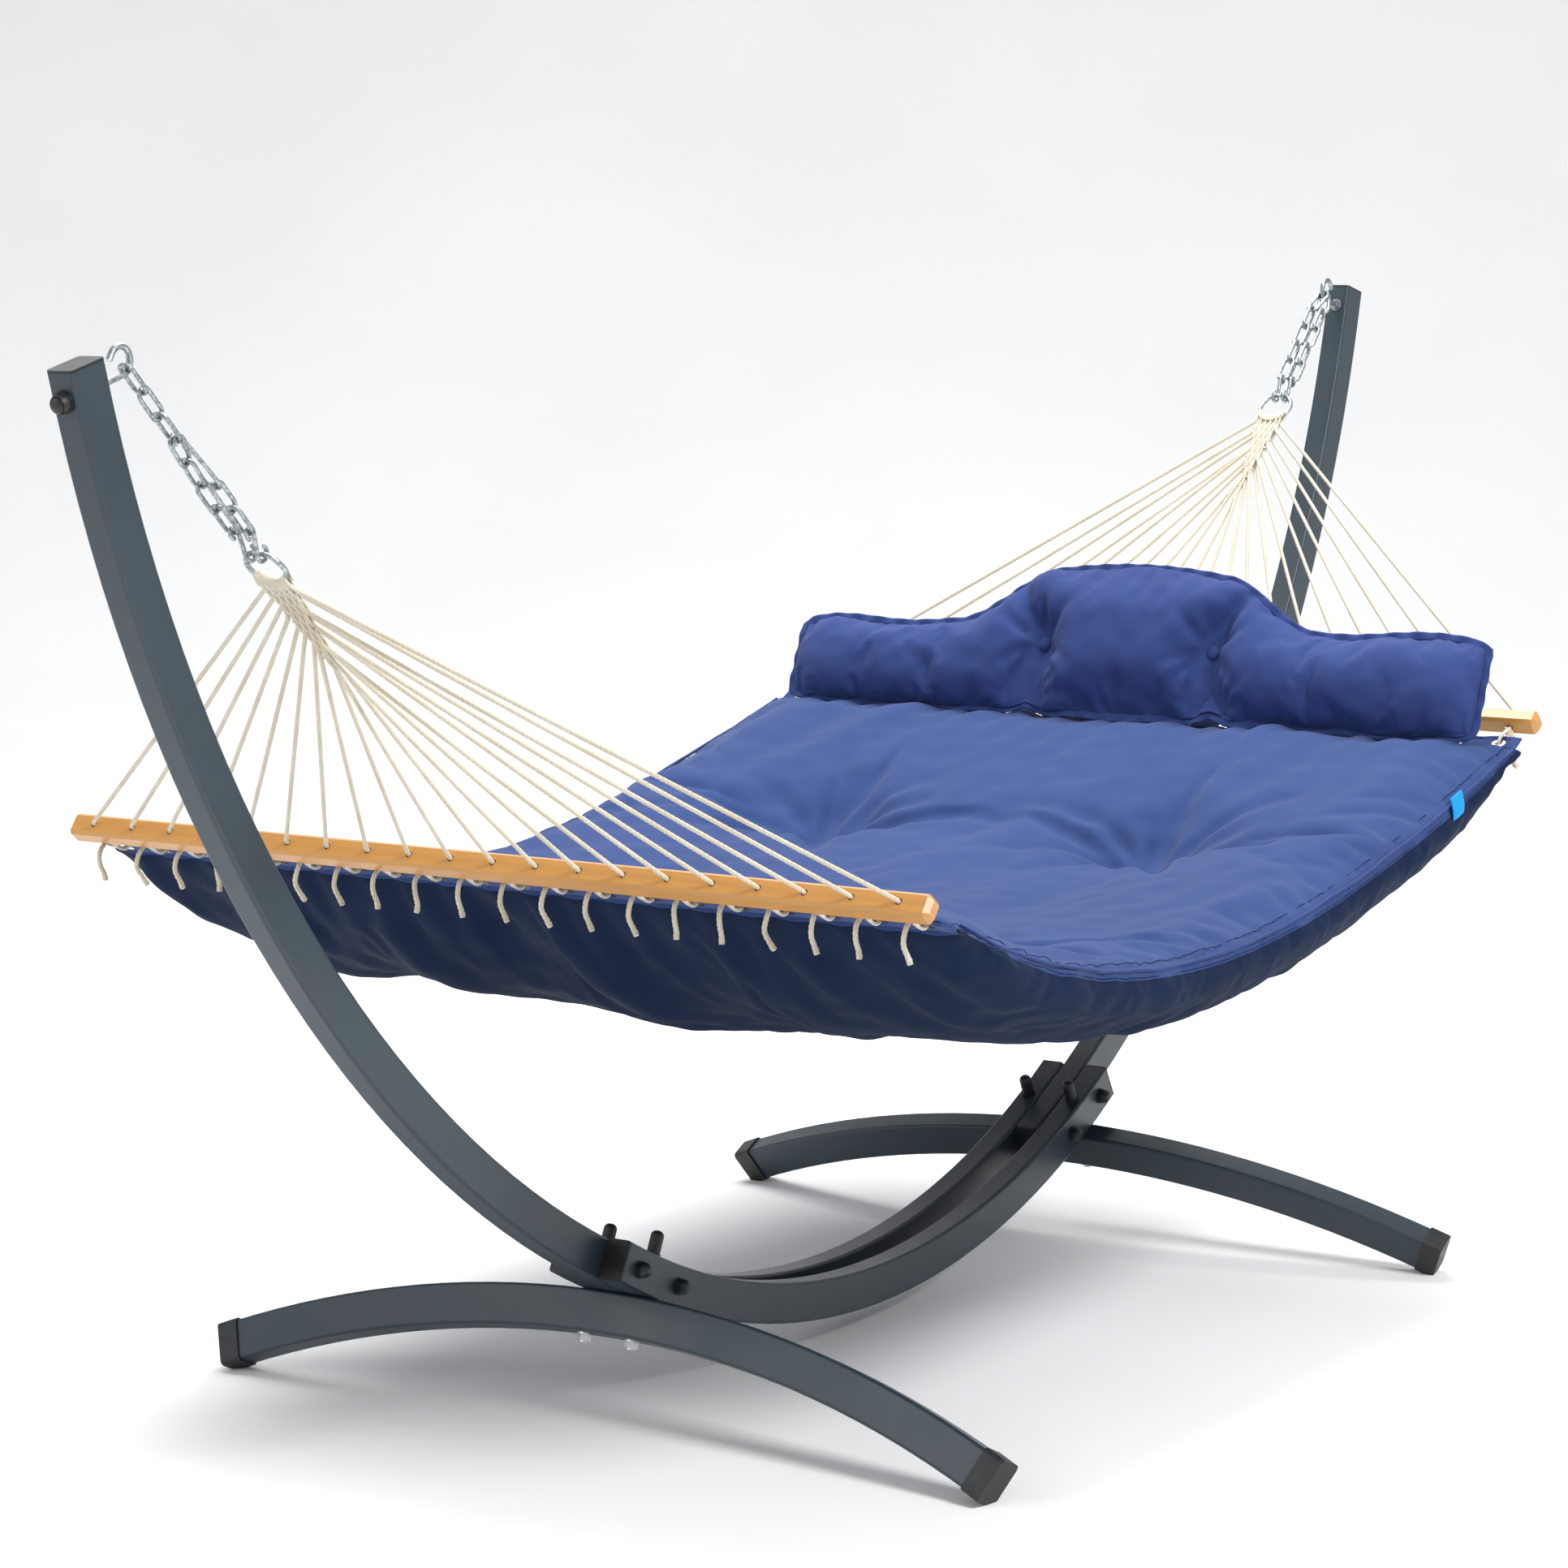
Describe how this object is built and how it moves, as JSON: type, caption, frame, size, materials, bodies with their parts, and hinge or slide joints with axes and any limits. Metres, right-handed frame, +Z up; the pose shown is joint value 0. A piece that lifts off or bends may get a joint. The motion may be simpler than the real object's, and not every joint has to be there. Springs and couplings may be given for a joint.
{
  "type": "hammock on stand",
  "caption": "Quilted rope hammock with wooden spreader bars and a long pillow, hung by chains from a curved steel tube stand with two arched feet.",
  "frame": {"origin": "On the floor, under the middle of the stand", "axes": "+X along the hammock, towards the end with the pillow; +Z up; +Y to the back, across the hammock"},
  "size_m": [3.4462, 1.4, 1.536],
  "materials": {
    "powder_coated_steel": "satin",
    "black_plastic": "matte",
    "zinc_plated_steel": "satin",
    "galvanised_steel": "satin",
    "grommet_steel": "polished",
    "varnished_wood": "satin",
    "twisted_rope": "matte",
    "quilted_fabric": "matte",
    "pillow_fabric": "matte",
    "tag_fabric": "matte"
  },
  "bodies": {
    "stand": {"centre_beam_back": "powder_coated_steel", "centre_beam_end_caps": "black_plastic", "centre_beam_front": "powder_coated_steel", "foot_bolt_covers": "black_plastic", "foot_bolt_nuts": "zinc_plated_steel", "foot_bolt_washers": "zinc_plated_steel", "foot_bolts": "zinc_plated_steel", "foot_left": "powder_coated_steel", "foot_left_back_cap": "black_plastic", "foot_left_front_cap": "black_plastic", "foot_right": "powder_coated_steel", "foot_right_back_cap": "black_plastic", "foot_right_front_cap": "black_plastic", "hook_bolt_left": "galvanised_steel", "hook_bolt_right": "galvanised_steel", "hook_nut_covers": "black_plastic", "hook_nuts": "galvanised_steel", "hook_washers": "galvanised_steel", "joint_bolt_covers": "black_plastic", "joint_bolts": "zinc_plated_steel", "joint_nuts": "zinc_plated_steel", "upright_left": "powder_coated_steel", "upright_left_lower_cap": "black_plastic", "upright_left_top_cap": "black_plastic", "upright_right": "powder_coated_steel", "upright_right_lower_cap": "black_plastic", "upright_right_top_cap": "black_plastic"},
    "left_chains": {"chain_left_back": "galvanised_steel", "chain_left_front": "galvanised_steel", "joining_hook_left": "galvanised_steel", "s_hook_left_back": "galvanised_steel", "s_hook_left_front": "galvanised_steel"},
    "right_chains": {"chain_right_back": "galvanised_steel", "chain_right_front": "galvanised_steel", "s_hook_right_back": "galvanised_steel", "s_hook_right_front": "galvanised_steel"},
    "hammock": {"bed_hem_left": "quilted_fabric", "bed_hem_right": "quilted_fabric", "bed_pad": "quilted_fabric", "clew_weave_left": "twisted_rope", "clew_weave_right": "twisted_rope", "grommets_left": "grommet_steel", "grommets_right": "grommet_steel", "ring_left": "galvanised_steel", "ring_right": "galvanised_steel", "rope_knots_left": "twisted_rope", "rope_knots_right": "twisted_rope", "rope_loops_left": "twisted_rope", "rope_loops_right": "twisted_rope", "rope_tails_left": "twisted_rope", "rope_tails_right": "twisted_rope", "side_tag": "tag_fabric", "spreader_bar_left": "varnished_wood", "spreader_bar_right": "varnished_wood", "suspension_ropes_left": "twisted_rope", "suspension_ropes_right": "twisted_rope"},
    "pillow": {"pillow": "pillow_fabric", "pillow_buttons": "pillow_fabric"}
  },
  "joints": [
    {"name": "swing_left", "type": "hinge", "parent": "stand", "child": "left_chains", "pos_m": [-1.59595, 0, 1.50262], "axis": [1, 0, 0], "range_deg": [-18, 18]},
    {"name": "swing_right", "type": "hinge", "parent": "stand", "child": "right_chains", "pos_m": [1.59573, 0, 1.50284], "axis": [1, 0, 0], "range_deg": [-18, 18]},
    {"name": "tip", "type": "hinge", "parent": "left_chains", "child": "hammock", "pos_m": [-1.372, 0, 1.27265], "axis": [0.9998, 0, 0.0222], "range_deg": [-10, 10]},
    {"name": "pillow_lift", "type": "slide", "parent": "hammock", "child": "pillow", "axis": [0, 0, 1], "range_m": [0, 0.25]}
  ],
  "couplings": [
    {"joint": "swing_right", "follows": "swing_left", "ratio": 1}
  ]
}
